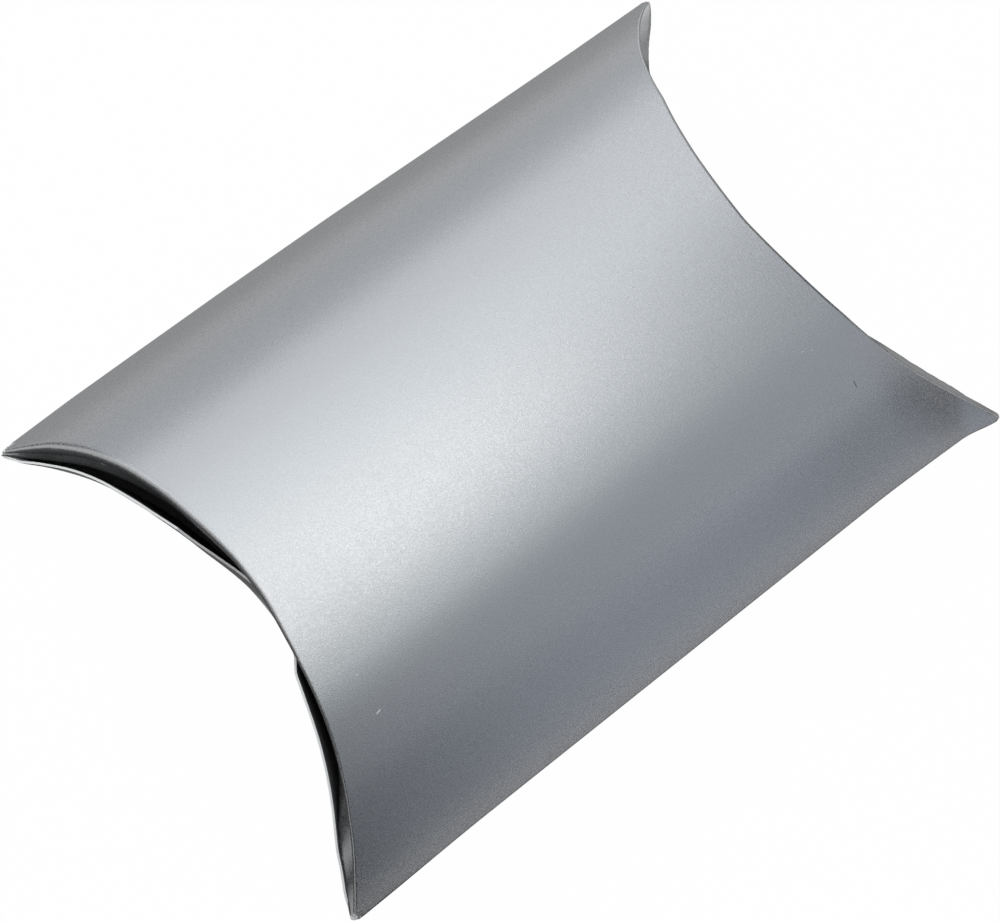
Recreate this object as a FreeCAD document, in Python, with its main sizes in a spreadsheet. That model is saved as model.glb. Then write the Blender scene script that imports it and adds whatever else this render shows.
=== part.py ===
"""A pillow box of metallic card: two bowed panels, curved end flaps and a glued side seam.

Millimetres, +Z up, +Y along the side folds. The origin is under the middle of the box, on the
surface that the lower panel's belly lies on. Front is the -Y end.

The two panels share one section, a flat crown arc with a tighter arc at each shoulder, and lie
between two straight side folds. Each end of a panel is creased along a plane leaning 45 degrees, so
the end flap that folds there is the same section again, turned upright and hollow towards outside.
"""

import FreeCAD, Part
import enum
import math
import os

import Sketcher

SIZES = {
    # Overall, over the outside of the card
    "length": 91.0,
    "width": 65.0,
    "height": 25.0,
    # Card and its folds
    "card": 0.4,
    "fold_radius": 0.45,
    "crease_width": 0.5,
    # Bowed section, measured on the middle of the card
    "crown_radius": 70.0,
    "crown_half": 12.5,
    # End flaps
    "edge_gap": 0.75,
    "corner_trim": 1.0,
    "flap_gap": 0.4,
    "notch_half": 9.75,
    "notch_depth": 5.0,
    "inner_reach": 3.0,
    # Glued side seam
    "seam_width": 9.0,
    "seam_end": 9.0,
    "seam_start": 1.2,
    "glue_film": 0.1,
    "glue_width": 5.5,
    "glue_margin": 1.5,
    # Length by which a cut runs past what it cuts
    "overrun": 4.0,
}

doc = FreeCAD.newDocument("pillow_box")
sheet = doc.addObject("Spreadsheet::Sheet", "Sizes")
for row, (alias, value) in enumerate(SIZES.items(), start=1):
    sheet.set(f"A{row}", alias)
    sheet.set(f"B{row}", str(value))
    sheet.setAlias(f"B{row}", alias)
doc.recompute()

# Lengths that follow from the driving dimensions, as formulas on the sheet
REACH = "(Sizes.width / 2 - Sizes.fold_radius)"
RISE = "(Sizes.height / 2 - Sizes.card / 2)"
MIDDLE = "Sizes.height / 2"
HALF_LENGTH = "Sizes.length / 2"
FLAP_STEP = "(Sizes.card + Sizes.flap_gap)"

reach = SIZES["width"] / 2 - SIZES["fold_radius"]
rise = SIZES["height"] / 2 - SIZES["card"] / 2
crown_centre = FreeCAD.Vector(0, rise - SIZES["crown_radius"], 0)
crown_angle = math.asin(SIZES["crown_half"] / SIZES["crown_radius"])
crown_normal = FreeCAD.Vector(math.sin(crown_angle), math.cos(crown_angle), 0)
crown_end = crown_centre + crown_normal * SIZES["crown_radius"]
side_point = FreeCAD.Vector(reach, 0, 0)
shoulder_chord = side_point - crown_end
# The shoulder arc leaves the crown arc without a kink and ends on the side fold
shoulder_radius = -shoulder_chord.dot(shoulder_chord) / (2 * shoulder_chord.dot(crown_normal))
shoulder_centre = crown_end - crown_normal * shoulder_radius

ALONG = FreeCAD.Vector(0, 0, 1)


class Spot(enum.IntEnum):
    """The points of a line or arc that a constraint can hold."""

    START = enum.auto()
    END = enum.auto()
    CENTRE = enum.auto()


class Axis(enum.IntEnum):
    """A sketch's own axes, which are counted downwards."""

    def _generate_next_value_(name, start, count, last_values):
        return -start - count

    ACROSS = enum.auto()
    UP = enum.auto()


START, END, CENTRE = Spot
ACROSS_AXIS, UP_AXIS = Axis
ORIGIN = (ACROSS_AXIS, START)


def mirrored(point):
    """The point on the other side of the section's middle."""
    return FreeCAD.Vector(-point.x, point.y, 0)


def arc(centre, start, end):
    """The arc about a centre that runs anticlockwise from one point to another."""
    angles = [math.atan2(p.y - centre.y, p.x - centre.x) for p in (start, end)]
    return Part.ArcOfCircle(Part.Circle(centre, ALONG, start.distanceToPoint(centre)), *angles)


def new_sketch(body, name, role):
    """A sketch on one of the body's own origin planes."""
    sketch = body.newObject("Sketcher::SketchObject", name)
    plane = next(f for f in body.Origin.OriginFeatures if f.Role == role)
    sketch.AttachmentSupport = [(plane, "")]
    sketch.MapMode = "FlatFace"
    return sketch


def hold(sketch, kind, *where):
    """Adds a constraint without a size."""
    return sketch.addConstraint(Sketcher.Constraint(kind, *where))


def size(sketch, kind, formula, *where):
    """Adds a constraint whose size follows a formula on the sheet."""
    index = sketch.addConstraint(Sketcher.Constraint(kind, *where, float(sheet.evalExpression(formula))))
    sketch.setExpression(f"Constraints[{index}]", formula)
    return index


def midline(sketch):
    """Draws the right half of the section's middle line as construction, crown then shoulder."""
    crown = sketch.addGeometry(arc(crown_centre, crown_end, mirrored(crown_end)), True)
    shoulder = sketch.addGeometry(arc(shoulder_centre, side_point, crown_end), True)
    hold(sketch, "PointOnObject", crown, CENTRE, UP_AXIS)
    size(sketch, "Radius", "Sizes.crown_radius", crown)
    size(sketch, "DistanceY", f"Sizes.crown_radius - {RISE}", crown, CENTRE, *ORIGIN)
    size(sketch, "DistanceX", "Sizes.crown_half", *ORIGIN, crown, START)
    hold(sketch, "Symmetric", crown, START, crown, END, UP_AXIS)
    hold(sketch, "Tangent", shoulder, END, crown, START)
    hold(sketch, "PointOnObject", shoulder, START, ACROSS_AXIS)
    size(sketch, "DistanceX", REACH, *ORIGIN, shoulder, START)
    return crown, shoulder


def curve(sketch, guides, offset, offset_formula, foot):
    """Draws the whole section line at a distance outside the middle line.

    Args:
        sketch: the sketch, with its middle line drawn.
        guides: the middle line's crown and shoulder.
        offset: distance outwards from the middle line.
        offset_formula: the same distance on the sheet.
        foot: where the line starts on the right, about level with its end.

    Returns:
        The right shoulder, whose START is the right foot, and the left one, whose END is the left foot.
    """
    crown_guide, shoulder_guide = guides
    join = crown_end + crown_normal * offset
    left_centre = mirrored(shoulder_centre)
    right = sketch.addGeometry(arc(shoulder_centre, foot, join), False)
    crown = sketch.addGeometry(arc(crown_centre, join, mirrored(join)), False)
    left = sketch.addGeometry(arc(left_centre, mirrored(join), mirrored(foot)), False)
    hold(sketch, "Coincident", crown, CENTRE, crown_guide, CENTRE)
    size(sketch, "Radius", f"Sizes.crown_radius + {offset_formula}", crown)
    hold(sketch, "Coincident", right, CENTRE, shoulder_guide, CENTRE)
    hold(sketch, "Tangent", right, END, crown, START)
    hold(sketch, "Tangent", crown, END, left, START)
    hold(sketch, "Symmetric", crown, START, crown, END, UP_AXIS)
    hold(sketch, "Equal", right, left)
    return right, left


def on_shoulder(offset, across=None, up=None):
    """The point of an offset shoulder line at a given place across, or at a given height."""
    radius = shoulder_radius + offset
    if up is None:
        up = shoulder_centre.y + math.sqrt(radius**2 - (across - shoulder_centre.x) ** 2)
    else:
        across = shoulder_centre.x + math.sqrt(radius**2 - (up - shoulder_centre.y) ** 2)
    return FreeCAD.Vector(across, up, 0)


def line(sketch, start, end):
    """Adds a straight line."""
    return sketch.addGeometry(Part.LineSegment(start, end), False)


def bowed_strip(sketch):
    """Draws the closed section of a bowed sheet of card, cut level beside the side folds."""
    guides = midline(sketch)
    half = SIZES["card"] / 2
    feet = {side: on_shoulder(side * half, up=SIZES["fold_radius"]) for side in (1, -1)}
    outer = curve(sketch, guides, half, "Sizes.card / 2", feet[1])
    inner = curve(sketch, guides, -half, "-Sizes.card / 2", feet[-1])
    right_cap = line(sketch, feet[1], feet[-1])
    left_cap = line(sketch, mirrored(feet[1]), mirrored(feet[-1]))
    for cap, outer_arc, inner_arc, spot in zip((right_cap, left_cap), outer, inner, (START, END)):
        hold(sketch, "Coincident", cap, START, outer_arc, spot)
        hold(sketch, "Coincident", cap, END, inner_arc, spot)
        hold(sketch, "Horizontal", cap)
        size(sketch, "DistanceY", "Sizes.fold_radius", *ORIGIN, cap, START)


def polygon(sketch, points):
    """Draws a closed outline of straight lines and returns them."""
    edges = [line(sketch, points[i], points[(i + 1) % len(points)]) for i in range(len(points))]
    for i, edge in enumerate(edges):
        hold(sketch, "Coincident", edge, END, edges[(i + 1) % len(edges)], START)
    return edges


def place(feature, along_formula, up_formula, axis=None):
    """Puts a sub-part at its place, turned half way round one axis where it is a turned copy."""
    if axis is not None:
        feature.Placement = FreeCAD.Placement(FreeCAD.Vector(), FreeCAD.Rotation(axis, 180))
    feature.setExpression("Placement.Base.y", along_formula)
    feature.setExpression("Placement.Base.z", up_formula)


def new_body(label):
    """An empty body under its own label."""
    body = doc.addObject("PartDesign::Body", label)
    body.Label = label
    return body


def pad(body, sketch, length_formula):
    """Pads a sketch to both sides of its plane."""
    feature = body.newObject("PartDesign::Pad", f"{body.Label}_pad")
    feature.Profile = sketch
    feature.SideType = "Symmetric"
    feature.setExpression("Length", length_formula)
    doc.recompute()
    return feature


def cut(body, sketch, name):
    """Cuts a sketch right through the body, to both sides of its plane."""
    before = body.Shape.Volume
    feature = body.newObject("PartDesign::Pocket", f"{body.Label}_{name}")
    feature.Profile = sketch
    feature.SideType = "Symmetric"
    feature.Type = "ThroughAll"
    doc.recompute()
    if not 0 < body.Shape.Volume < before:
        raise RuntimeError(f"{body.Label}: {name} cuts nothing")
    return feature


def end_cuts(body, name, step, step_formula, keep_end=False):
    """Cuts both ends along planes leaning 45 degrees through the side folds, a step in from their ends.

    Args:
        body: the body to cut.
        name: name of the cut.
        step: how far in from the side folds' ends the plane lies.
        step_formula: the same distance on the sheet.
        keep_end: True cuts away what lies between the two ends, and False the ends.
    """
    sketch = new_sketch(body, f"{body.Label}_{name}_outline", "YZ_Plane")
    over = SIZES["overrun"]
    leg = rise + 2 * over
    foot = FreeCAD.Vector(SIZES["length"] / 2 - step + over, -over, 0)
    head = FreeCAD.Vector(foot.x - leg, foot.y + leg, 0)
    if keep_end:
        slant, _, other_slant, _ = polygon(sketch, [foot, head, mirrored(head), mirrored(foot)])
    else:
        corner = FreeCAD.Vector(foot.x, head.y, 0)
        slant, top, side = polygon(sketch, [foot, head, corner])
        other_slant, other_top, other_side = polygon(sketch, [mirrored(p) for p in (foot, head, corner)])
        for level, upright in ((top, side), (other_top, other_side)):
            hold(sketch, "Horizontal", level)
            hold(sketch, "Vertical", upright)
    size(sketch, "DistanceX", f"{RISE} + 2 * Sizes.overrun", slant, END, slant, START)
    size(sketch, "DistanceY", f"{RISE} + 2 * Sizes.overrun", slant, START, slant, END)
    size(sketch, "DistanceY", "Sizes.overrun", slant, START, *ORIGIN)
    size(sketch, "DistanceX", f"{HALF_LENGTH} - {step_formula} + Sizes.overrun", *ORIGIN, slant, START)
    far_foot, far_head = (END, START) if keep_end else (START, END)
    hold(sketch, "Symmetric", slant, START, other_slant, far_foot, UP_AXIS)
    hold(sketch, "Symmetric", slant, END, other_slant, far_head, UP_AXIS)
    cut(body, sketch, name)


def panel(label, step, step_formula, axis=None):
    """One bowed panel between the side folds, up to the crease at each end."""
    body = new_body(label)
    sketch = new_sketch(body, f"{label}_section", "XZ_Plane")
    bowed_strip(sketch)
    inset = step + SIZES["crease_width"]
    inset_formula = f"({step_formula} + Sizes.crease_width)"
    pad(body, sketch, f"Sizes.length - 2 * {inset_formula}")
    end_cuts(body, "ends", inset, inset_formula)
    place(body, "0", MIDDLE, axis)
    return body


def crease(label, step, step_formula, end, axis=None):
    """The creased strip along one end of a panel, mitred where its flap folds."""
    body = new_body(label)
    sketch = new_sketch(body, f"{label}_section", "XZ_Plane")
    bowed_strip(sketch)
    pad(body, sketch, f"Sizes.length - 2 * {step_formula}")
    end_cuts(body, "mitre", step, step_formula)
    other_end = new_sketch(body, f"{label}_other_end_outline", "YZ_Plane")
    over = SIZES["overrun"]
    far = -end * (SIZES["length"] / 2 + over)
    corners = [(0, -over), (far, -over), (far, rise + over), (0, rise + over)]
    edges = polygon(other_end, [FreeCAD.Vector(*c, 0) for c in corners])
    for level, upright in ((edges[0], edges[1]), (edges[2], edges[3])):
        hold(other_end, "Horizontal", level)
        hold(other_end, "Vertical", upright)
    hold(other_end, "PointOnObject", edges[0], START, UP_AXIS)
    size(other_end, "DistanceY", "Sizes.overrun", edges[0], START, *ORIGIN)
    size(other_end, "DistanceY", f"{RISE} + 2 * Sizes.overrun", edges[0], START, edges[3], START)
    reach_out = f"{HALF_LENGTH} + Sizes.overrun"
    outwards = (edges[0], END, edges[0], START) if end > 0 else (edges[0], START, edges[0], END)
    size(other_end, "DistanceX", reach_out, *outwards)
    cut(body, other_end, "other_end")
    inset = step + SIZES["crease_width"]
    end_cuts(body, "panel_side", inset, f"({step_formula} + Sizes.crease_width)", keep_end=True)
    place(body, "0", MIDDLE, axis)
    return body


def flap_edge(sketch):
    """Draws what lies above and beside a flap's creased edge, down to the middle of the end."""
    guides = midline(sketch)
    gap = SIZES["edge_gap"]
    over = SIZES["overrun"]
    across = reach - SIZES["corner_trim"]
    foot = on_shoulder(-gap, across=across)
    right, left = curve(sketch, guides, -gap, "-Sizes.edge_gap", foot)
    level = [FreeCAD.Vector(across, 0, 0), FreeCAD.Vector(reach + over, 0, 0)]
    top = FreeCAD.Vector(reach + over, rise + over, 0)
    upright = line(sketch, foot, level[0])
    floor = line(sketch, *level)
    side = line(sketch, level[1], top)
    roof = line(sketch, top, mirrored(top))
    other_side = line(sketch, mirrored(top), mirrored(level[1]))
    other_floor = line(sketch, mirrored(level[1]), mirrored(level[0]))
    other_upright = line(sketch, mirrored(level[0]), mirrored(foot))
    run = [upright, floor, side, roof, other_side, other_floor, other_upright]
    for first, second in zip(run, run[1:]):
        hold(sketch, "Coincident", first, END, second, START)
    hold(sketch, "Coincident", upright, START, right, START)
    hold(sketch, "Coincident", other_upright, END, left, END)
    for edge in (upright, side, other_side, other_upright):
        hold(sketch, "Vertical", edge)
    for edge in (floor, roof, other_floor):
        hold(sketch, "Horizontal", edge)
    hold(sketch, "PointOnObject", floor, START, ACROSS_AXIS)
    hold(sketch, "PointOnObject", other_floor, START, ACROSS_AXIS)
    size(sketch, "DistanceX", f"{REACH} - Sizes.corner_trim", *ORIGIN, floor, START)
    size(sketch, "DistanceX", f"{REACH} - Sizes.corner_trim", other_floor, END, *ORIGIN)
    size(sketch, "DistanceX", f"{REACH} + Sizes.overrun", *ORIGIN, floor, END)
    size(sketch, "DistanceX", f"{REACH} + Sizes.overrun", other_floor, START, *ORIGIN)
    size(sketch, "DistanceY", f"{RISE} + Sizes.overrun", *ORIGIN, roof, START)


def thumb_notch(sketch):
    """Draws the round-bottomed thumb notch in the middle of a flap's free edge."""
    half = SIZES["notch_half"]
    depth = SIZES["notch_depth"]
    radius = (half**2 + depth**2) / (2 * depth)
    drop = rise - SIZES["edge_gap"] + radius - depth
    notch = sketch.addGeometry(Part.Circle(FreeCAD.Vector(0, -drop, 0), ALONG, radius), False)
    spread = "(Sizes.notch_half * Sizes.notch_half + Sizes.notch_depth * Sizes.notch_depth)"
    arc_radius = f"{spread} / (2 * Sizes.notch_depth)"
    size(sketch, "Radius", arc_radius, notch)
    hold(sketch, "PointOnObject", notch, CENTRE, UP_AXIS)
    drop_formula = f"{RISE} - Sizes.edge_gap + {arc_radius} - Sizes.notch_depth"
    size(sketch, "DistanceY", drop_formula, notch, CENTRE, *ORIGIN)


def short_edge(sketch):
    """Draws what lies below the shallow free edge of an inner flap, one arc from corner to corner."""
    over = SIZES["overrun"]
    sag = SIZES["inner_reach"]
    radius = (reach**2 + sag**2) / (2 * sag)
    centre = FreeCAD.Vector(0, radius - sag, 0)
    corner = FreeCAD.Vector(reach, 0, 0)
    low = FreeCAD.Vector(reach, -rise - over, 0)
    edge = sketch.addGeometry(arc(centre, mirrored(corner), corner), False)
    side = line(sketch, corner, low)
    floor = line(sketch, low, mirrored(low))
    other_side = line(sketch, mirrored(low), mirrored(corner))
    hold(sketch, "Coincident", edge, END, side, START)
    hold(sketch, "Coincident", side, END, floor, START)
    hold(sketch, "Coincident", floor, END, other_side, START)
    hold(sketch, "Coincident", other_side, END, edge, START)
    hold(sketch, "Vertical", side)
    hold(sketch, "Vertical", other_side)
    hold(sketch, "Horizontal", floor)
    hold(sketch, "PointOnObject", edge, CENTRE, UP_AXIS)
    hold(sketch, "PointOnObject", edge, START, ACROSS_AXIS)
    hold(sketch, "PointOnObject", edge, END, ACROSS_AXIS)
    size(sketch, "DistanceX", REACH, *ORIGIN, edge, END)
    size(sketch, "DistanceY", f"{RISE} + Sizes.overrun", side, END, *ORIGIN)
    arc_radius = f"({REACH} * {REACH} + Sizes.inner_reach * Sizes.inner_reach) / (2 * Sizes.inner_reach)"
    size(sketch, "Radius", arc_radius, edge)


def flap(label, free_edge, along_formula, axis=None):
    """One end flap: the bowed section stood upright, trimmed to its crease and its free edge."""
    body = new_body(label)
    section = new_sketch(body, f"{label}_section", "XY_Plane")
    bowed_strip(section)
    pad(body, section, f"2 * ({RISE} + Sizes.overrun)")
    outline = new_sketch(body, f"{label}_edge_outline", "XZ_Plane")
    flap_edge(outline)
    edge = cut(body, outline, "edge")
    lens = body.newObject("PartDesign::Mirrored", f"{label}_lens")
    lens.Originals = [edge]
    level = next(f for f in body.Origin.OriginFeatures if f.Role == "XY_Plane")
    lens.MirrorPlane = (level, [""])
    body.Tip = lens
    doc.recompute()
    free = new_sketch(body, f"{label}_free_outline", "XZ_Plane")
    free_edge(free)
    cut(body, free, "free_edge")
    place(body, along_formula, MIDDLE, axis)
    return body


def seam_strip(label, depth, depth_formula, thick, thick_formula, start, start_formula, width_formula):
    """A strip of the seam inside the lower panel's shoulder, between the flaps.

    Args:
        label: the node's name.
        depth: how far inside the middle of the panel's card the strip's outer face lies.
        depth_formula: the same distance on the sheet.
        thick: the strip's thickness.
        thick_formula: the same thickness on the sheet.
        start: height at which the strip starts beside the side fold, from the folds' level.
        start_formula: the same height on the sheet.
        width_formula: the strip's width, measured straight across its outer face.
    """
    body = new_body(label)
    sketch = new_sketch(body, f"{label}_section", "XZ_Plane")
    shoulder = midline(sketch)[1]
    width = float(sheet.evalExpression(width_formula))
    foot = on_shoulder(-depth, up=start)
    outer_radius = shoulder_radius - depth
    turn = 2 * math.asin(width / (2 * outer_radius))
    spoke = foot - shoulder_centre
    head = shoulder_centre + FreeCAD.Rotation(ALONG, math.degrees(turn)).multVec(spoke)
    shrink = (outer_radius - thick) / outer_radius
    inner_foot = shoulder_centre + spoke * shrink
    inner_head = shoulder_centre + (head - shoulder_centre) * shrink
    outer = sketch.addGeometry(arc(shoulder_centre, foot, head), False)
    inner = sketch.addGeometry(arc(shoulder_centre, inner_foot, inner_head), False)
    low_cap = line(sketch, foot, inner_foot)
    high_cap = line(sketch, head, inner_head)
    on_panel = shoulder_centre + spoke * (shoulder_radius / outer_radius)
    spacer = sketch.addGeometry(Part.LineSegment(on_panel, foot), True)
    for face in (outer, inner):
        hold(sketch, "Coincident", face, CENTRE, shoulder, CENTRE)
    for cap, spot in ((low_cap, START), (high_cap, END)):
        hold(sketch, "Coincident", cap, START, outer, spot)
        hold(sketch, "Coincident", cap, END, inner, spot)
        hold(sketch, "PointOnObject", shoulder, CENTRE, cap)
    size(sketch, "Distance", thick_formula, low_cap)
    hold(sketch, "Coincident", spacer, END, outer, START)
    hold(sketch, "PointOnObject", spacer, START, shoulder)
    hold(sketch, "PointOnObject", shoulder, CENTRE, spacer)
    size(sketch, "Distance", depth_formula, spacer)
    size(sketch, "DistanceY", start_formula, *ORIGIN, outer, START)
    size(sketch, "Distance", width_formula, outer, START, outer, END)
    pad(body, sketch, "Sizes.length - 2 * Sizes.seam_end")
    end_cuts(body, "ends", SIZES["seam_end"], "Sizes.seam_end")
    place(body, "0", MIDDLE, FreeCAD.Vector(0, 1, 0))
    return body


def side_fold(label, side):
    """The rolled fold along one side, where the two panels meet."""
    fold = doc.addObject("Part::Cylinder", label)
    fold.Label = label
    fold.setExpression("Radius", "Sizes.fold_radius")
    fold.setExpression("Height", "Sizes.length")
    fold.Placement = FreeCAD.Placement(FreeCAD.Vector(), FreeCAD.Rotation(FreeCAD.Vector(1, 0, 0), -90))
    fold.setExpression("Placement.Base.x", f"{side} * {REACH}")
    fold.setExpression("Placement.Base.y", f"-{HALF_LENGTH}")
    fold.setExpression("Placement.Base.z", MIDDLE)
    return fold


TURN_OVER = FreeCAD.Vector(0, 1, 0)
TURN_ROUND = FreeCAD.Vector(0, 0, 1)
TURN_BACK = FreeCAD.Vector(1, 0, 0)
flap_step = SIZES["card"] + SIZES["flap_gap"]

# The tube: two panels, their side folds and the glued seam
sub_parts = [
    panel("top_panel", flap_step, FLAP_STEP),
    panel("bottom_panel", 0, "0", TURN_OVER),
    side_fold("plain_side_fold", 1),
    side_fold("seam_side_fold", -1),
    seam_strip(
        "glue_flap",
        SIZES["card"] / 2 + SIZES["glue_film"],
        "Sizes.card / 2 + Sizes.glue_film",
        SIZES["card"],
        "Sizes.card",
        SIZES["seam_start"],
        "Sizes.seam_start",
        "Sizes.seam_width",
    ),
    seam_strip(
        "glue_line",
        SIZES["card"] / 2,
        "Sizes.card / 2",
        SIZES["glue_film"],
        "Sizes.glue_film",
        SIZES["seam_start"] + SIZES["glue_margin"],
        "Sizes.seam_start + Sizes.glue_margin",
        "Sizes.glue_width",
    ),
]

# The creased strips at the ends, and the flaps: the outer pair on the lower panel, the inner on the top
for end_name, end in (("front", -1), ("back", 1)):
    sub_parts.append(crease(f"{end_name}_top_crease", flap_step, FLAP_STEP, end))
    sub_parts.append(crease(f"{end_name}_bottom_crease", 0, "0", end, TURN_OVER))
    outer_turn = TURN_OVER if end < 0 else TURN_BACK
    inner_turn = None if end < 0 else TURN_ROUND
    outer_place = f"{end} * {HALF_LENGTH}"
    inner_place = f"{end} * ({HALF_LENGTH} - {FLAP_STEP})"
    sub_parts.append(flap(f"{end_name}_outer_flap", thumb_notch, outer_place, outer_turn))
    sub_parts.append(flap(f"{end_name}_inner_flap", short_edge, inner_place, inner_turn))

doc.recompute()
for item in doc.Objects:
    if {"Invalid", "Error"} & set(item.State):
        raise RuntimeError(f"{item.Name} failed: {item.State}")
for item in sub_parts:
    if item.Shape.isNull() or not item.Shape.isValid() or len(item.Shape.Solids) != 1:
        raise RuntimeError(f"{item.Label} isn't one sound solid")

os.makedirs("parts", exist_ok=True)
for item in sub_parts:
    item.Shape.exportStep(f"parts/{item.Label}.step")
    print(f"{item.Label}: {item.Shape.Volume:.2f} cubic mm")
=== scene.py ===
"""The looks of a pillow box of satin silver card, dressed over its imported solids.

Metres, in the part's own frame: +Z up, +Y along the side folds, front is the -Y end.
"""

import json
import logging
import math
from dataclasses import dataclass
from enum import Enum
from typing import Any, Callable, Iterator, Optional, Union

import bpy
import numpy as np
from mathutils import Matrix, Vector


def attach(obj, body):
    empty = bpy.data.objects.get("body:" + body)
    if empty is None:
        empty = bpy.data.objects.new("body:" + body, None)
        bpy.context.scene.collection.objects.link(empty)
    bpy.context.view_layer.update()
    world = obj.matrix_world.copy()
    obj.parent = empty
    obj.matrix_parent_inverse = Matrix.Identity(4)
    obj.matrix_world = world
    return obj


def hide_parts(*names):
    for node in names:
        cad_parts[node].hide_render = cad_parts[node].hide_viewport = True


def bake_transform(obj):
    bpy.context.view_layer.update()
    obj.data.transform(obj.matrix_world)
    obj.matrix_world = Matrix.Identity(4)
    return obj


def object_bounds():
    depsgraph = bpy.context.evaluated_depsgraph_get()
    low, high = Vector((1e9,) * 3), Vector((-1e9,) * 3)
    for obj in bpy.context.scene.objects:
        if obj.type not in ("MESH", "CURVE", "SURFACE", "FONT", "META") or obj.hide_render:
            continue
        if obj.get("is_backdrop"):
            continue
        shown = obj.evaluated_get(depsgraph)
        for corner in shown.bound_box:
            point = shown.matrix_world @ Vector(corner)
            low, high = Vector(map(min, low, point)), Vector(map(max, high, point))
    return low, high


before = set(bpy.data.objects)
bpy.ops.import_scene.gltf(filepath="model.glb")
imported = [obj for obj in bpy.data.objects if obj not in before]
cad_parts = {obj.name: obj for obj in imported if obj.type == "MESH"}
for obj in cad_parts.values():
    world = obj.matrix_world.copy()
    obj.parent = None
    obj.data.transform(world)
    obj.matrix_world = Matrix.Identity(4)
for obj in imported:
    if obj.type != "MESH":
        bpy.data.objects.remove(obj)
CAD_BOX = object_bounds()

logging.basicConfig(level=logging.INFO, format="%(name)s: %(message)s")
log = logging.getLogger("pillow_box")

MM = 0.001
Triple = tuple[float, float, float]
Span = tuple[float, float]
Handles = tuple[Span, ...]
LEVEL: Handles = ((-1.0, 0.0), (1.0, 0.0))
TIGHT: Handles = ((-1.0, 0.2), (1.0, 0.2))


class End(Enum):
    """The two open ends of the tube, as the sign of their direction along Y."""

    FRONT = -1
    BACK = 1


class Side(Enum):
    """The upper and lower halves of the box, as the sign of their direction along Z."""

    TOP = 1
    BOTTOM = -1


class Face(Enum):
    """The surfaces of a sheet of card, in the order of a mesh's material slots."""

    OUTSIDE = 0
    INSIDE = 1
    CUT = 2


def math_method(operation: str, turned: bool = False) -> Callable[..., "Value"]:
    """A method of Value that adds one Math node.

    Args:
        operation: the node's operation.
        turned: whether the other value comes first.

    Returns:
        The method.
    """

    def method(self: "Value", other: Any = 0.0) -> "Value":
        """The node's result."""
        first, second = (other, self) if turned else (self, other)
        return self.graph.node("ShaderNodeMath", {"operation": operation}, {0: first, 1: second})

    return method


class Value:
    """An output socket on which arithmetic can be written."""

    __add__ = math_method("ADD")
    __radd__ = math_method("ADD", True)
    __sub__ = math_method("SUBTRACT")
    __rsub__ = math_method("SUBTRACT", True)
    __mul__ = math_method("MULTIPLY")
    __rmul__ = math_method("MULTIPLY", True)
    __truediv__ = math_method("DIVIDE")
    __rtruediv__ = math_method("DIVIDE", True)
    __pow__ = math_method("POWER")
    __lt__ = math_method("LESS_THAN")
    __abs__ = math_method("ABSOLUTE")
    root = math_method("SQRT")
    larger = math_method("MAXIMUM")

    def __init__(self, graph: "Graph", socket: Optional[bpy.types.NodeSocket]) -> None:
        """Wraps one socket of a graph."""
        self.graph = graph
        self.socket = socket

    def step(self, low: float, high: float) -> "Value":
        """A smooth step from 0 at low to 1 at high."""
        settings = {"interpolation_type": "SMOOTHSTEP"}
        return self.graph.node("ShaderNodeMapRange", settings, {0: self, 1: low, 2: high})


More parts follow.
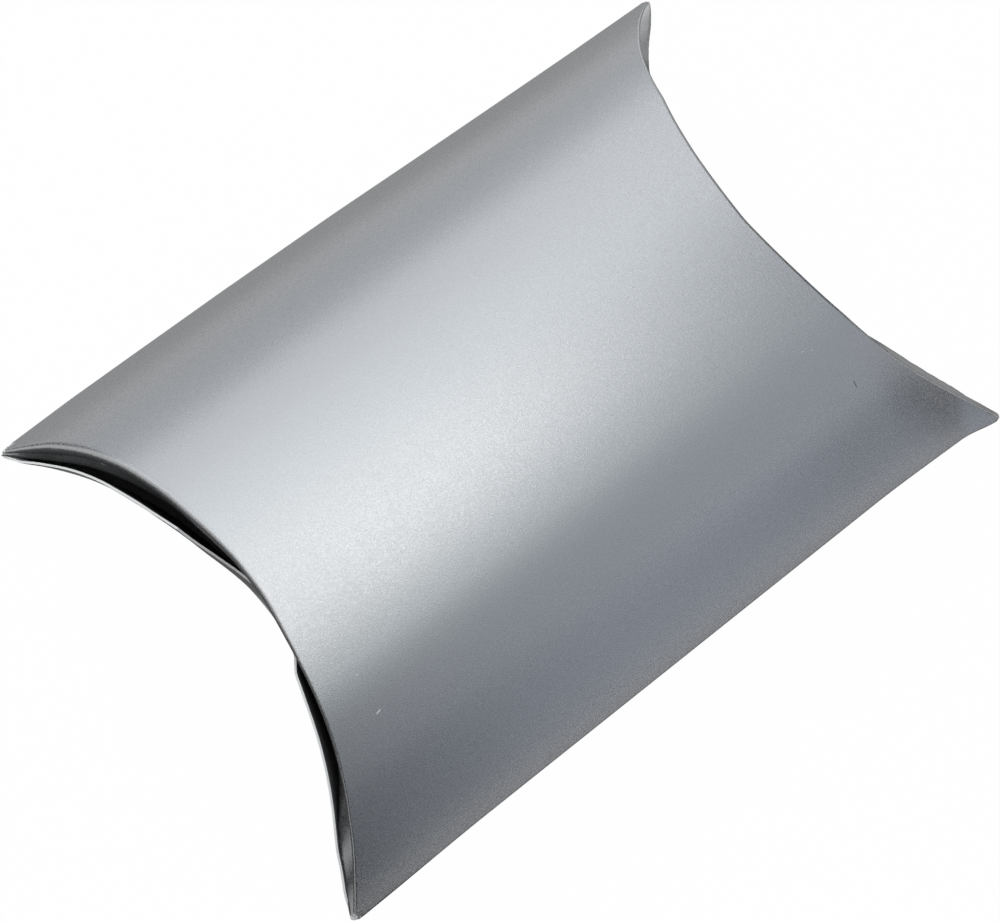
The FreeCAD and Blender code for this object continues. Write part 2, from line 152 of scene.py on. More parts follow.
class Graph:
    """A node tree that is being built."""

    def __init__(self, tree: bpy.types.NodeTree) -> None:
        """Wraps an empty tree."""
        self.tree = tree

    def node(
        self,
        kind: str,
        settings: Optional[dict[str, Any]] = None,
        inputs: Optional[dict[Union[str, int], Any]] = None,
        output: Union[str, int] = 0,
    ) -> Value:
        """Adds a node.

        Args:
            kind: the node's type.
            settings: its properties, set first; "stops" fills a ramp with places and colours.
            inputs: a number, a value or a list of values for each socket.
            output: the socket that is returned.

        Returns:
            The chosen output.
        """
        node = self.tree.nodes.new(kind)
        for name, value in (settings or {}).items():
            if name == "stops":
                self._fill(node.color_ramp.elements, value)
            else:
                setattr(node, name, value)
        for key, value in (inputs or {}).items():
            for item in value if isinstance(value, list) else [value]:
                if isinstance(item, Value):
                    self.tree.links.new(item.socket, node.inputs[key])
                else:
                    node.inputs[key].default_value = item
        return Value(self, node.outputs[output]) if node.outputs else Value(self, None)

    @staticmethod
    def _fill(elements: bpy.types.ColorRampElements, stops: list[tuple[float, tuple]]) -> None:
        """Sets a ramp's stops."""
        while len(elements) < len(stops):
            elements.new(1.0)
        for element, (place, colour) in zip(elements, stops):
            element.position = place
            element.color = (*colour, 1.0)

    def also(self, value: Value, output: str) -> Value:
        """Another output of the node that a value comes from."""
        return Value(self, value.socket.node.outputs[output])

    def axes(self, place: Value) -> list[Value]:
        """The three numbers of a place: across, along and up."""
        across = self.node("ShaderNodeSeparateXYZ", {}, {0: place})
        return [across, self.also(across, "Y"), self.also(across, "Z")]

    def noise(self, place: Value, size: float, **inputs: float) -> Value:
        """Soft noise whose largest blots have about that size."""
        return self.node("ShaderNodeTexNoise", {}, {"Vector": place, "Scale": 1 / size, **inputs})

    def mixed(self, share: Value, first: Union[Value, Triple], second: Union[Value, Triple]) -> Value:
        """A colour that goes from the first to the second as the share goes from 0 to 1."""
        ends = [end if isinstance(end, Value) else (*end, 1.0) for end in (first, second)]
        # A Mix node has its colours in sockets 6 and 7, and their mixture in output 2
        return self.node("ShaderNodeMix", {"data_type": "RGBA"}, {0: share, 6: ends[0], 7: ends[1]}, 2)

    def bump(self, height: Value, relief: float) -> Value:
        """Normals of a surface that rises by the relief where the height is 1."""
        return self.node("ShaderNodeBump", {}, {"Height": height, "Distance": relief, "Strength": 1.0})

    def surface(self, inputs: dict[str, Value]) -> None:
        """Ends a material with one shader that has those inputs."""
        shader = self.node("ShaderNodeBsdfPrincipled", {}, inputs)
        self.node("ShaderNodeOutputMaterial", {}, {"Surface": shader})


def shaded(colour: Triple, share: float) -> Triple:
    """A darker or lighter shade of a colour."""
    red, green, blue = (share * c for c in colour)
    return red, green, blue


def new_material(name: str) -> tuple[bpy.types.Material, Graph]:
    """An empty material with its graph."""
    material = bpy.data.materials.new(name)
    material.use_nodes = True
    material.node_tree.nodes.clear()
    return material, Graph(material.node_tree)


@dataclass(frozen=True)
class Mark:
    """A small handling mark on the top panel: a bright scratch to bare board, or a dark mark painted as the
    shade of a small dent.

    Attributes:
        start: where it begins, across and along, in millimetres.
        end: where it stops.
        light: whether the silver is scratched bright, or painted dark as the shade of a small dent.
        width: its width, in millimetres.
    """

    start: Span
    end: Span
    light: bool
    width: float = 0.11
    run_shares: Span = (0.3, 0.6)
    width_shares: Span = (0.2, 0.8)

    def mask(self, across: Value, along: Value) -> Value:
        """1 on the mark and 0 elsewhere.

        Args:
            across: places across the box.
            along: places along it.

        Returns:
            The mask.
        """
        middle = [(a + b) / 2 * MM for a, b in zip(self.start, self.end)]
        run = math.dist(self.start, self.end)
        cosine, sine = ((b - a) / run for a, b in zip(self.start, self.end))
        x, y = across - middle[0], along - middle[1]
        run_limits = [share * run * MM for share in self.run_shares]
        width_limits = [share * self.width * MM for share in self.width_shares]
        lengthwise = 1 - abs(x * cosine + y * sine).step(*run_limits)
        sideways = 1 - abs(y * cosine - x * sine).step(*width_limits)
        return lengthwise * sideways


@dataclass(frozen=True)
class SilverFace:
    """The satin silver outside of the card: fine metal flake, soft handling marks, the dark ones painted
    shade of small dents, and cracked tips.

    Attributes:
        mottle: the size of the faint blotches in the metal.
        rub: the size of the patches that handling has polished or dulled.
        tip: where the tips are, whichever their side and end.
        crack: the size of the ragged bits that have cracked off there.
        crack_reach: how far the ragged bits spread.
        crack_limits: distances from a tip between which bare board turns to silver.
        spared: how much less the back tips are cracked.
        marked_above: the height above which the marks are.
    """

    colour: Triple = (0.47, 0.476, 0.486)
    core: Triple = (0.9, 0.9, 0.89)
    # painted shade: the dark colour that stands in for the shading of small dents
    dent_painted_shade: Triple = (0.1, 0.1, 0.1)
    shade_shares: Span = (0.93, 1.07)
    flake: float = 0.1 * MM
    flake_height: float = 0.010 * MM
    flake_share: float = 0.07
    flake_roughness: float = 0.12
    mottle: float = 6 * MM
    mottle_share: float = 0.06
    mottle_roughness: float = 0.03
    rub: float = 17 * MM
    rub_roughness: float = 0.05
    roughness: float = 0.30
    bare_roughness: float = 0.4
    tip: Triple = (32.3 * MM, 45.3 * MM, 12.5 * MM)
    crack: float = 0.5 * MM
    crack_reach: float = 2.4 * MM
    crack_limits: Span = (0.6 * MM, 0.9 * MM)
    spared: float = 1.2 * MM
    mark_share: float = 0.85
    marked_above: float = 16 * MM
    marks: tuple[Mark, ...] = (
        Mark((20.85, 31.7), (21.6, 31.6), False),
        Mark((17.95, -31.0), (17.84, -30.35), True),
        Mark((13.7, -30.25), (13.78, -30.1), True, 0.14),
        Mark((15.15, 28.6), (15.25, 28.7), True, 0.12),
        Mark((15.6, 29.6), (15.7, 29.65), True, 0.12),
    )

    def material(self) -> bpy.types.Material:
        """Builds the material."""
        material, graph = new_material("satin_silver_face")
        place = graph.node("ShaderNodeTexCoord", output="Object")
        grain = graph.noise(place, self.flake, Detail=1.5, Roughness=0.6)
        cells = graph.node("ShaderNodeTexVoronoi", {}, {"Vector": place, "Scale": 1 / self.flake}, "Color")
        flakes = graph.node("ShaderNodeSeparateColor", {}, {"Color": cells}) - 0.5
        mottle = graph.noise(place, self.mottle, Detail=3.0, Roughness=0.5) - 0.5
        rub = graph.noise(place, self.rub, Detail=4.0) - 0.5
        bare = self._worn(graph, place).larger(self._marked(graph, place, True))
        shade = mottle * self.mottle_share + flakes * self.flake_share + 0.5
        metal = graph.mixed(shade, *(shaded(self.colour, share) for share in self.shade_shares))
        colour = graph.mixed(bare, metal, self.core)
        roughness = self.roughness + flakes * self.flake_roughness + rub * self.rub_roughness
        graph.surface(
            {
                # The dark marks are painted shade: a dark colour in place of the shading of small dents
                "Base Color": graph.mixed(self._marked(graph, place, False), colour, self.dent_painted_shade),
                "Roughness": roughness + mottle * self.mottle_roughness + bare * self.bare_roughness,
                "Metallic": 1 - bare,
                "Normal": graph.bump(grain, self.flake_height),
            }
        )
        return material

    def _worn(self, graph: Graph, place: Value) -> Value:
        """How far the silver is cracked off at the four tips, where the fold is sharpest.

        Args:
            graph: the material's graph.
            place: object coordinates.

        Returns:
            1 on bare board and 0 on silver.
        """
        across, along, up = graph.axes(place)
        sides = zip((abs(across), abs(along), up), self.tip)
        squares = [(value - spot) ** 2 for value, spot in sides]
        away = (squares[0] + squares[1] + squares[2]).root()
        ragged = graph.noise(place, self.crack, Detail=4.0) - 0.5
        spared = (1 - (along < 0)) * self.spared
        return 1 - (away + spared + ragged * self.crack_reach).step(*self.crack_limits)

    def _marked(self, graph: Graph, place: Value, light: bool) -> Value:
        """Where the top panel has marks of one kind.

        Args:
            graph: the material's graph.
            place: object coordinates.
            light: which kind.

        Returns:
            1 on a mark and 0 elsewhere.
        """
        across, along, up = graph.axes(place)
        total = up * 0.0
        for mark in self.marks:
            if mark.light == light:
                total = total + mark.mask(across, along)
        return total * (1 - (up < self.marked_above)) * self.mark_share


@dataclass(frozen=True)
class Board:
    """Uncoated board: the inside of the card, whose dark grey is painted shade, or its white cut edge, where
    the core's fibres show.
    """

    name: str
    colour: Triple
    fibre: float
    relief: float
    cloud: float = 9 * MM
    fibre_share: float = 0.5
    cloud_share: float = 0.4
    shade_shares: Span = (0.88, 1.06)
    roughness: float = 0.82
    fibre_roughness: float = 0.15

    def material(self) -> bpy.types.Material:
        """Builds the material."""
        material, graph = new_material(self.name)
        place = graph.node("ShaderNodeTexCoord", output="Object")
        fibres = graph.noise(place, self.fibre, Detail=5.0, Distortion=0.8)
        cloud = graph.noise(place, self.cloud, Detail=3.0)
        shade = (fibres - 0.5) * self.fibre_share + (cloud - 0.5) * self.cloud_share + 0.5
        graph.surface(
            {
                "Base Color": graph.mixed(shade, *(shaded(self.colour, s) for s in self.shade_shares)),
                "Roughness": self.roughness + (fibres - 0.5) * self.fibre_roughness,
                "Normal": graph.bump(fibres, self.relief),
            }
        )
        return material


@dataclass(frozen=True)
class DriedGlue:
    """The pale, slightly glossy film of glue in the side seam."""

    colour: Triple = (0.86, 0.85, 0.80)
    shade_share: float = 0.9
    streak: float = 2 * MM
    roughness: float = 0.3
    streak_roughness: float = 0.2

    def material(self) -> bpy.types.Material:
        """Builds the material."""
        material, graph = new_material("dried_glue")
        place = graph.node("ShaderNodeTexCoord", output="Object")
        streaks = graph.noise(place, self.streak, Detail=4.0)
        colour = graph.mixed(streaks, shaded(self.colour, self.shade_share), self.colour)
        graph.surface({"Base Color": colour, "Roughness": self.roughness + streaks * self.streak_roughness})
        return material


@dataclass(frozen=True)
class CardFinish:
    """The three surfaces of the card, in the order of a mesh's material slots."""

    outside: bpy.types.Material
    inside: bpy.types.Material
    cut: bpy.types.Material

    @classmethod
    def new(cls) -> "CardFinish":
        """Builds the three materials."""
        return cls(
            SilverFace().material(),
            # The inside's dark grey is painted shade, standing in for the shadow in the gaps between the
            # flaps
            Board("inside_board_painted_shade", (0.15, 0.149, 0.146), 0.35 * MM, 0.012 * MM).material(),
            Board("white_board_core", (0.94, 0.94, 0.93), 0.12 * MM, 0.008 * MM).material(),
        )

    def dress(self, mesh: bpy.types.Mesh) -> None:
        """Gives a mesh the three slots."""
        for material in (self.outside, self.inside, self.cut):
            mesh.materials.append(material)


@dataclass(frozen=True)
class Section:
    """The bowed section on the middle of the card: a flat crown arc and a tighter arc at each shoulder."""

    reach: float = 32.38 * MM
    rise: float = 12.3 * MM
    crown_radius: float = 70 * MM
    crown_half: float = 12.5 * MM
    card: float = 0.4 * MM
    fold_radius: float = 0.45 * MM
    middle: float = 12.5 * MM
    half_length: float = 45.5 * MM

    def shoulder(self) -> tuple[float, float, float]:
        """The shoulder arc's radius, and its centre across and up, so that it leaves the crown smoothly."""
        angle = math.asin(self.crown_half / self.crown_radius)
        normal = np.array([math.sin(angle), math.cos(angle)])
        join = np.array([0, self.rise - self.crown_radius]) + normal * self.crown_radius
        chord = np.array([self.reach, 0]) - join
        radius = -chord @ chord / (2 * chord @ normal)
        centre = join - normal * radius
        return float(radius), float(centre[0]), float(centre[1])

    def height(self, across: np.ndarray) -> np.ndarray:
        """Height of the middle of the card above the side folds."""
        radius, centre_across, centre_up = self.shoulder()
        a = np.abs(across)
        flat = np.minimum(a, self.crown_half)
        crown = np.sqrt(self.crown_radius**2 - flat**2) - self.crown_radius + self.rise
        shoulder = centre_up + np.sqrt(np.maximum(radius**2 - (a - centre_across) ** 2, 0))
        return np.where(a < self.crown_half, crown, shoulder)

    def span(self) -> float:
        """Half of a panel's span, to where its card rolls over into the side fold."""
        radius, centre_across, centre_up = self.shoulder()
        lean = math.atan2(-centre_up, self.reach - centre_across)
        lift = (self.fold_radius - self.card / 2) * math.sin(lean)
        return centre_across + math.sqrt(radius**2 - (lift - centre_up) ** 2)

    def crown_along(self) -> float:
        """How far from the middle of the box the crowns of its end creases lie."""
        return self.half_length - self.rise


def smooth_step(value: np.ndarray, low: float, high: float) -> np.ndarray:
    """A smooth step from 0 at low to 1 at high."""
    t = np.clip((value - low) / (high - low), 0, 1)
    return t * t * (3 - 2 * t)


def follow(handles: Handles, at: np.ndarray) -> np.ndarray:
    """A soft curve through handles, which are given as shares of the half width and millimetres.

    Args:
        handles: the handles, in order.
        at: shares of the half width.

    Returns:
        The curve's values there, in metres.
    """
    places, amounts = zip(*handles)
    widest_share, count, softness = 1.1, 441, 5
    fine = np.linspace(-widest_share, widest_share, count)
    window = np.hanning(2 * softness + 3)[1:-1]
    raw = np.pad(np.interp(fine, places, amounts), softness, mode="edge")
    return np.interp(at, fine, np.convolve(raw, window / window.sum(), "valid")) * MM


@dataclass(frozen=True)
class Handling:
    """How the folded card departs from the exact folds: pulled tips, a pinched ear and a slack side.

    Attributes:
        pulls: for each tip its side and end, and how far it is pulled across and along, in millimetres.
        ear: how far the plain side flares at its back tip, over ear_length.
        pinch_share: how much flatter that corner is pressed.
        droop: how far its tip is bent down.
        seam_bow: how far the seam side is drawn in along its length.
        back_bow: how far the back end stands out.
        front_bow: how far the front end's upper crease stands out.
        front_low_bow: how far its lower crease does.
        corner: the radius that the tips are rubbed round to.

    The pairs of shares say where on the half width, half length or half height each of these sets in
    and where it is full.
    """

    section: Section
    pulls: tuple[tuple[int, int, float, float], ...] = (
        (-1, -1, 0.0, -0.85),
        (-1, 1, 0.0, 1.25),
        (1, 1, 0.5, 0.6),
        (1, -1, 0.25, 0.0),
    )
    ear: float = 0.8 * MM
    ear_length: float = 5.5 * MM
    pinch_share: float = 0.13
    droop: float = 0.4 * MM
    seam_bow: Handles = (
        (-1.0, 0.5), (-0.8, 0.15), (-0.65, 0.05), (-0.35, -0.1), (0.0, -0.1),
        (0.3, 0.1), (0.5, 0.2), (0.75, 0.3), (1.0, 0.3),
    )
    back_bow: Handles = (
        (-1.0, 0.75), (-0.97, 0.35), (-0.94, -0.1), (-0.9, -0.35), (-0.8, -0.3), (-0.65, 0.2), (-0.55, 0.5),
        (-0.3, 0.0), (0.0, -0.35), (0.25, 0.0), (0.45, 0.2), (0.7, 0.0), (1.0, 0.0),
    )
    front_bow: Handles = (
        (-1.0, 0.0), (-0.85, 0.15), (-0.65, 0.4), (-0.5, 0.45), (-0.3, 0.25), (-0.1, -0.25),
        (0.05, -0.25), (0.2, 0.05), (0.45, 0.35), (0.75, 0.6), (0.9, 0.4), (1.0, 0.0),
    )
    front_low_bow: Handles = (
        (-1.0, 0.0), (-0.65, 0.2), (-0.45, 0.0), (-0.25, -0.35), (0.0, -0.3), (0.2, 0.0), (1.0, 0.0),
    )
    corner: float = 0.8 * MM
    pull_across_shares: Span = (0.55, 1.0)
    pull_along_shares: Span = (0.6, 1.0)
    ear_across_shares: Span = (0.7, 1.0)
    pinch_across_shares: Span = (0.3, 0.8)
    pinch_along_shares: Span = (0.72, 1.06)
    droop_across_shares: Span = (0.5, 1.0)
    droop_along_shares: Span = (0.8, 1.0)
    seam_across_shares: Span = (0.3, 1.0)
    end_along_shares: Span = (0.2, 0.75)
    upper_shares: Span = (0.3, 1.2)

    def settle(self, points: np.ndarray) -> np.ndarray:
        """Moves points of the exact folds to where the handled card has them.

        Args:
            points: points in the part's frame.

        Returns:
            The moved points.
        """
        moved = points.copy()
        straight = np.array([self.section.reach, self.section.half_length]) - self.corner
        past = np.maximum(np.abs(points[:, :2]) - straight, 0)
        rounded = past * (past.max(1) / np.maximum(np.hypot(*past.T), 1e-9))[:, None]
        moved[:, :2] += np.sign(points[:, :2]) * (rounded - past)
        across = points[:, 0] / self.section.reach
        along = points[:, 1] / self.section.half_length
        for side, end, pull_across, pull_along in self.pulls:
            share = smooth_step(side * across, *self.pull_across_shares)
            share *= smooth_step(end * along, *self.pull_along_shares)
            moved[:, 0] += share * pull_across * MM
            moved[:, 1] += share * pull_along * MM
        start = 1 - self.ear_length / self.section.half_length
        flared = self.ear * smooth_step(across, *self.ear_across_shares)
        moved[:, 0] += flared * smooth_step(along, start, 1.0)
        pressed = self.pinch_share * smooth_step(across, *self.pinch_across_shares)
        pressed *= smooth_step(along, *self.pinch_along_shares)
        moved[:, 2] -= pressed * (points[:, 2] - self.section.middle)
        bent = self.droop * smooth_step(across, *self.droop_across_shares)
        moved[:, 2] -= bent * smooth_step(along, *self.droop_along_shares)
        moved[:, 0] += follow(self.seam_bow, along) * smooth_step(-across, *self.seam_across_shares)
        moved[:, 1] += follow(self.back_bow, across) * smooth_step(along, *self.end_along_shares)
        upper = smooth_step(points[:, 2], *(share * self.section.middle for share in self.upper_shares))
        bow = follow(self.front_bow, across) * upper + follow(self.front_low_bow, across) * (1 - upper)
        moved[:, 1] -= bow * smooth_step(-along, *self.end_along_shares)
        return moved


def new_object(name: str, mesh: bpy.types.Mesh) -> bpy.types.Object:
    """An object of that mesh, at the origin and in the scene."""
    thing = bpy.data.objects.new(name, mesh)
    bpy.context.scene.collection.objects.link(thing)
    return thing


def smooth(mesh: bpy.types.Mesh, angle: float = 40.0) -> None:
    """Shades a mesh smooth, with edges sharper than the angle left sharp."""
    mesh.shade_smooth()
    mesh.set_sharp_from_angle(angle=math.radians(angle))


def points_of(mesh: bpy.types.Mesh) -> np.ndarray:
    """A mesh's points, as rows of three."""
    flat = np.empty(len(mesh.vertices) * 3, np.float32)
    mesh.vertices.foreach_get("co", flat)
    return flat.reshape(-1, 3).astype(float)


def move_points(mesh: bpy.types.Mesh, moved: np.ndarray) -> None:
    """Puts a mesh's points elsewhere."""
    mesh.vertices.foreach_set("co", moved.astype(np.float32).ravel())
    mesh.update()


def card_object(mesh: bpy.types.Mesh, handling: Handling) -> bpy.types.Object:
    """An object of a mesh of the exact folds, settled as the handled card lies."""
    move_points(mesh, handling.settle(points_of(mesh)))
    smooth(mesh)
    return new_object(mesh.name, mesh)


def as_grid(across: np.ndarray, along: np.ndarray, up: np.ndarray) -> np.ndarray:
    """A grid of points, as columns by rows by three."""
    return np.stack(np.broadcast_arrays(across, along, up), -1)


def sheet_mesh(
    name: str,
    grid: np.ndarray,
    normals: np.ndarray,
    card: float,
    finish: CardFinish,
    free_edge: Face = Face.CUT,
) -> bpy.types.Mesh:
    """A closed sheet of card about a grid of points on its middle.

    Args:
        name: the mesh's name.
        grid: points, as columns by rows by three.
        normals: directions to the silver side at those points, as long as the card is thick there.
        card: the card's thickness.
        finish: the card's surfaces.
        free_edge: the surface of the edge along the last row.

    Returns:
        The mesh; its first half of points is the silver side, in the grid's order.
    """
    columns, rows = grid.shape[:2]
    count = columns * rows
    points = np.concatenate([(grid + side * normals * card / 2).reshape(-1, 3) for side in (1, -1)])
    index = np.arange(count).reshape(columns, rows)
    quads = np.stack([index[:-1, :-1], index[1:, :-1], index[1:, 1:], index[:-1, 1:]], -1).reshape(-1, 4)
    ring = np.concatenate([index[:, 0], index[-1, 1:], index[-2::-1, -1], index[0, -2:0:-1]])
    after = np.roll(ring, -1)
    rim = np.stack([after, ring, ring + count, after + count], -1)
    faces = np.concatenate([quads, quads[:, ::-1] + count, rim])
    mesh = bpy.data.meshes.new(name)
    mesh.from_pydata(points.tolist(), [], faces.tolist())
    finish.dress(mesh)
    kinds = np.full(len(faces), Face.OUTSIDE.value)
    kinds[len(quads) : 2 * len(quads)] = Face.INSIDE.value
    on_edge = np.isin(ring, index[:, -1]) & np.isin(after, index[:, -1])
    kinds[2 * len(quads) :][on_edge] = free_edge.value
    mesh.polygons.foreach_set("material_index", kinds.astype(np.int32))
    mesh.update()
    return mesh


def grid_normals(grid: np.ndarray, outwards: np.ndarray) -> np.ndarray:
    """Unit normals of a grid of points, turned to the side that outwards points to."""
    normals = np.cross(np.gradient(grid, axis=0), np.gradient(grid, axis=1))
    normals /= np.linalg.norm(normals, axis=-1, keepdims=True)
    sign = np.sign(np.median((normals * outwards).sum(-1)))
    return normals * sign


@dataclass
class BowedPanel:
    """One bowed panel of the tube, made by its rule in a node tree."""

    name: str
    side: Side
    section: Section
    front_roll: Handles = TIGHT
    back_roll: Handles = TIGHT
    columns: int = 181
    rows: int = 111
    weld: float = 0.0001 * MM

    def _tree(self, finish: CardFinish) -> tuple[bpy.types.NodeTree, dict[str, str]]:
        """The tree that bends a grid to the section and its creases and gives it the card's thickness.

        Args:
            finish: the card's surfaces.

        Returns:
            The tree, and the identifier of each named input.
        """
        tree = bpy.data.node_groups.new(f"{self.name}_rule", "GeometryNodeTree")
        tree.interface.new_socket("Card", in_out="OUTPUT", socket_type="NodeSocketGeometry")
        named = {}
        for label in self._inputs():
            whole = label in ("Columns", "Rows")
            kind = "NodeSocketInt" if whole else "NodeSocketFloat"
            named[label] = tree.interface.new_socket(label, in_out="INPUT", socket_type=kind).identifier
        graph = Graph(tree)
        first = graph.node("NodeGroupInput")
        size = {label: graph.also(first, label) for label in named}
        # The grid runs from -1 to 1 both ways, so its places are shares
        grid = graph.node(
            "GeometryNodeMeshGrid",
            {},
            {"Size X": 2.0, "Size Y": 2.0, "Vertices X": size["Columns"], "Vertices Y": size["Rows"]},
        )
        spot, share, _ = graph.axes(graph.node("GeometryNodeInputPosition"))
        across = spot * size["Span"]
        a = abs(across)
        flat = size["Crown Radius"]
        crown = (flat * flat - a * a).root() - flat + size["Rise"]
        tight = size["Shoulder Radius"]
        from_centre = a - size["Shoulder Across"]
        shoulder = (tight * tight - from_centre * from_centre).root() + size["Shoulder Up"]
        on_crown = a < size["Crown Half"]
        height = crown * on_crown + shoulder * (1 - on_crown)
        front = self._roll(graph, spot * size["Side"], self.front_roll)
        back = self._roll(graph, spot * size["Side"], self.back_roll)
        exact = share * (size["Half Length"] - height)
        along = exact + (1 - share) * front / 2 - (1 + share) * back / 2
        up = size["Middle"] + size["Side"] * height
        place = graph.node("ShaderNodeCombineXYZ", {}, {"X": across * size["Side"], "Y": along, "Z": up})
        bent = graph.node("GeometryNodeSetPosition", {}, {"Geometry": grid, "Position": place})
        normal = graph.node("GeometryNodeInputNormal")
        inwards = graph.node(
            "ShaderNodeVectorMath", {"operation": "SCALE"}, {0: normal, "Scale": size["Card"] * -0.5}
        )
        inner = graph.node("GeometryNodeSetPosition", {}, {"Geometry": bent, "Offset": inwards})
        thick = graph.node(
            "GeometryNodeExtrudeMesh",
            {"mode": "FACES"},
            {"Mesh": inner, "Offset Scale": size["Card"], "Individual": False},
        )
        top, rim = graph.also(thick, "Top"), graph.also(thick, "Side")
        outside = graph.node(
            "GeometryNodeSetMaterial", {}, {"Geometry": thick, "Selection": top, "Material": finish.outside}
        )
        walls = graph.node(
            "GeometryNodeSetMaterial", {}, {"Geometry": outside, "Selection": rim, "Material": finish.cut}
        )
        lining = graph.node("GeometryNodeFlipFaces", {}, {"Mesh": inner})
        inside = graph.node("GeometryNodeSetMaterial", {}, {"Geometry": lining, "Material": finish.inside})
        both = graph.node("GeometryNodeJoinGeometry", {}, {"Geometry": [walls, inside]})
        closed = graph.node("GeometryNodeMergeByDistance", {}, {"Geometry": both, "Distance": self.weld})
        solid = graph.node("GeometryNodeRealizeInstances", {}, {"Geometry": closed})
        graph.node("NodeGroupOutput", {}, {"Card": solid})
        return tree, named

    @staticmethod
    def _roll(graph: Graph, share: Value, handles: Handles) -> Value:
        """How far before the crease the card starts to roll.

        Args:
            graph: the panel's tree.
            share: places across, as shares of the half width.
            handles: the rolls there, in millimetres.

        Returns:
            The distances.
        """
        widest = 4.0
        stops = [((place + 1) / 2, (amount / widest,) * 3) for place, amount in handles]
        return graph.node("ShaderNodeValToRGB", {"stops": stops}, {0: (share + 1) / 2}) * (widest * MM)

    def _inputs(self) -> dict[str, float]:
        """The tree's named sizes."""
        radius, centre_across, centre_up = self.section.shoulder()
        return {
            "Columns": self.columns,
            "Rows": self.rows,
            "Side": self.side.value,
            "Span": self.section.span(),
            "Rise": self.section.rise,
            "Crown Radius": self.section.crown_radius,
            "Crown Half": self.section.crown_half,
            "Shoulder Radius": radius,
            "Shoulder Across": centre_across,
            "Shoulder Up": centre_up,
            "Half Length": self.section.half_length,
            "Middle": self.section.middle,
            "Card": self.section.card,
        }

    def build(self, finish: CardFinish, handling: Handling) -> bpy.types.Object:
        """Builds the panel as a plain mesh.

        Args:
            finish: the card's surfaces.
            handling: how the card is settled.

        Returns:
            The panel.
        """
        tree, named = self._tree(finish)
        maker = new_object(f"{self.name}_maker", bpy.data.meshes.new(f"{self.name}_maker"))
        modifier = maker.modifiers.new("rule", "NODES")
        modifier.node_group = tree
        for label, value in self._inputs().items():
            modifier[named[label]] = value
        made = maker.evaluated_get(bpy.context.evaluated_depsgraph_get())
        mesh = bpy.data.meshes.new_from_object(made)
        mesh.name = self.name
        bpy.data.objects.remove(maker)
        return card_object(mesh, handling)


@dataclass
class SideFold:
    """The rolled fold along one side, where the card turns from one panel to the other."""

    name: str
    side: int
    section: Section
    turns: int = 15
    rows: int = 121

    def build(self, finish: CardFinish, handling: Handling) -> bpy.types.Object:
        """Builds the fold.

        Args:
            finish: the card's surfaces.
            handling: how the card is settled.

        Returns:
            The fold.
        """
        _, centre_across, centre_up = self.section.shoulder()
        span = self.section.span()
        lift = float(self.section.height(np.array([span]))[0])
        lean = math.atan2(lift - centre_up, span - centre_across)
        bend = self.section.fold_radius - self.section.card / 2
        angles = np.linspace(lean, -lean, self.turns)
        centre = span - bend * math.cos(lean)
        across = centre + bend * np.cos(angles)
        up = lift - bend * math.sin(lean) + bend * np.sin(angles)
        ends = self.section.half_length - np.abs(up)
        share = np.linspace(-1, 1, self.rows)
        grid = as_grid(self.side * across[:, None], ends[:, None] * share, self.section.middle + up[:, None])
        level = np.zeros_like(grid[..., 1])
        outwards = as_grid(self.side * np.cos(angles)[:, None], level, np.sin(angles)[:, None])
        if self.side > 0:
            grid, outwards = grid[:, ::-1], outwards[:, ::-1]
        mesh = sheet_mesh(self.name, grid, outwards, self.section.card, finish, Face.OUTSIDE)
        return card_object(mesh, handling)


